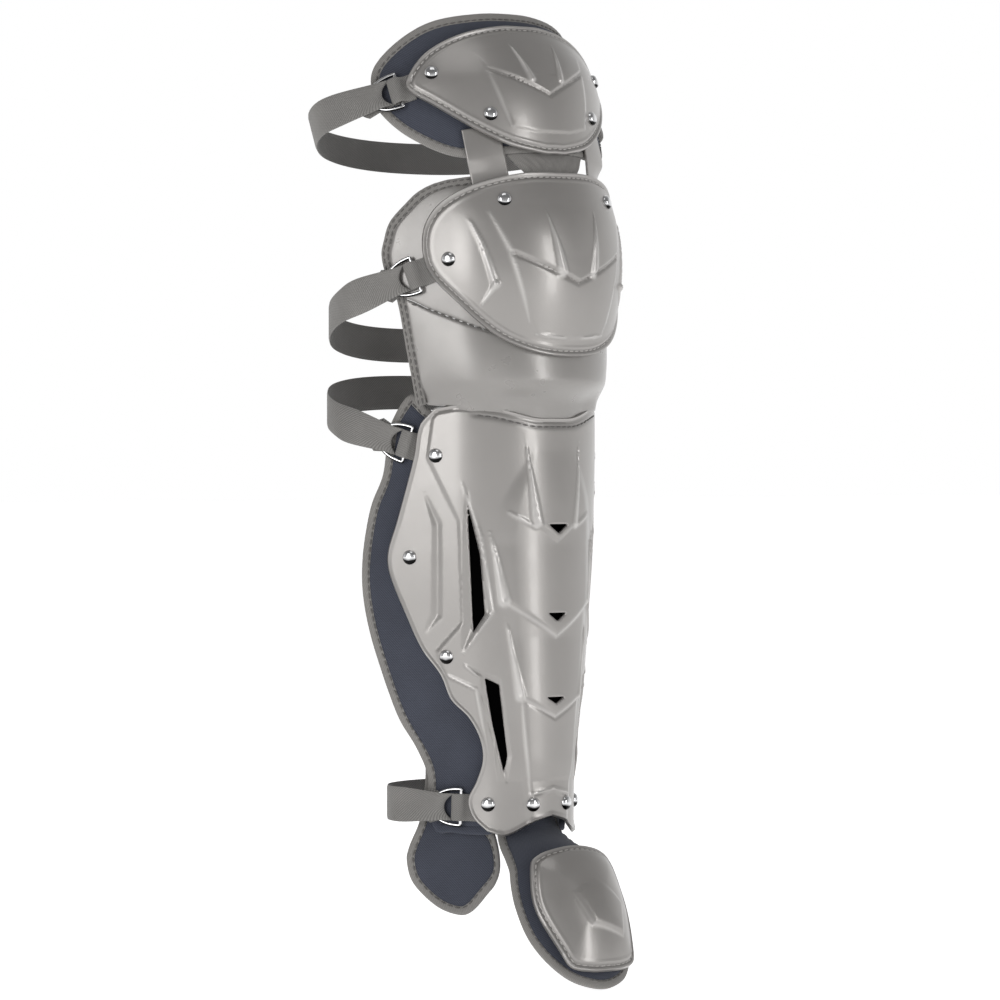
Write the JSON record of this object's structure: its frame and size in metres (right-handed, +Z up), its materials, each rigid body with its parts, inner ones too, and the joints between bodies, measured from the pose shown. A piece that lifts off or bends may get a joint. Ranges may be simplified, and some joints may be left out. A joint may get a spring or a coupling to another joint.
{
  "type": "catcher leg guard",
  "caption": "Leg guard with hard thigh, knee, shin and instep shells over cloth pads, a padded collar, ankle flaps, and straps with metal rings that run round the leg.",
  "frame": {"origin": "middle of the wearer's knee joint, on the leg's axis, at the height of the knee shell's middle", "axes": "+Z up the leg; the guard's front faces -Y; +X to the right as seen from its front"},
  "size_m": [0.2596, 0.2295, 0.7019],
  "materials": {
    "shell_plastic": "glossy warm silver-grey moulded shell",
    "grey_vinyl": "shiny padded grey vinyl",
    "charcoal_twill": "matt twill cloth over foam",
    "binding_tape": "stitched grey edge tape",
    "strap_webbing": "woven elastic webbing",
    "chrome_hardware": "polished",
    "black_lining": "matt black"
  },
  "bodies": {
    "root": {"ankle_flap_binding_left": "binding_tape", "ankle_flap_binding_right": "binding_tape", "ankle_flap_left": "charcoal_twill", "ankle_flap_right": "charcoal_twill", "ankle_ring": "chrome_hardware", "ankle_ring_loop": "strap_webbing", "ankle_strap": "strap_webbing", "calf_ring": "chrome_hardware", "calf_ring_loop": "strap_webbing", "calf_strap": "strap_webbing", "collar_band": "grey_vinyl", "hinge_cloth": "binding_tape", "instep_binding": "binding_tape", "instep_cap": "shell_plastic", "instep_pad": "charcoal_twill", "instep_rim": "binding_tape", "knee_binding": "binding_tape", "knee_cap": "shell_plastic", "knee_pad": "grey_vinyl", "knee_rim": "binding_tape", "knee_ring": "chrome_hardware", "knee_ring_loop": "strap_webbing", "knee_rivet_left_1": "chrome_hardware", "knee_rivet_left_2": "chrome_hardware", "knee_rivet_right_1": "chrome_hardware", "knee_rivet_right_2": "chrome_hardware", "knee_strap": "strap_webbing", "link_left": "shell_plastic", "link_right": "shell_plastic", "shin_binding": "binding_tape", "shin_liner": "charcoal_twill", "shin_rivet_left_1": "chrome_hardware", "shin_rivet_left_2": "chrome_hardware", "shin_rivet_left_3": "chrome_hardware", "shin_rivet_left_4": "chrome_hardware", "shin_rivet_left_5": "chrome_hardware", "shin_rivet_right_1": "chrome_hardware", "shin_rivet_right_2": "chrome_hardware", "shin_rivet_right_3": "chrome_hardware", "shin_rivet_right_4": "chrome_hardware", "shin_rivet_right_5": "chrome_hardware", "shin_shell": "shell_plastic", "thigh_binding": "binding_tape", "thigh_cap": "shell_plastic", "thigh_pad": "charcoal_twill", "thigh_rim": "binding_tape", "thigh_ring": "chrome_hardware", "thigh_ring_loop": "strap_webbing", "thigh_rivet_left_1": "chrome_hardware", "thigh_rivet_left_2": "chrome_hardware", "thigh_rivet_right_1": "chrome_hardware", "thigh_rivet_right_2": "chrome_hardware", "thigh_strap": "strap_webbing", "vent_lining": "black_lining"}
  },
  "joints": []
}
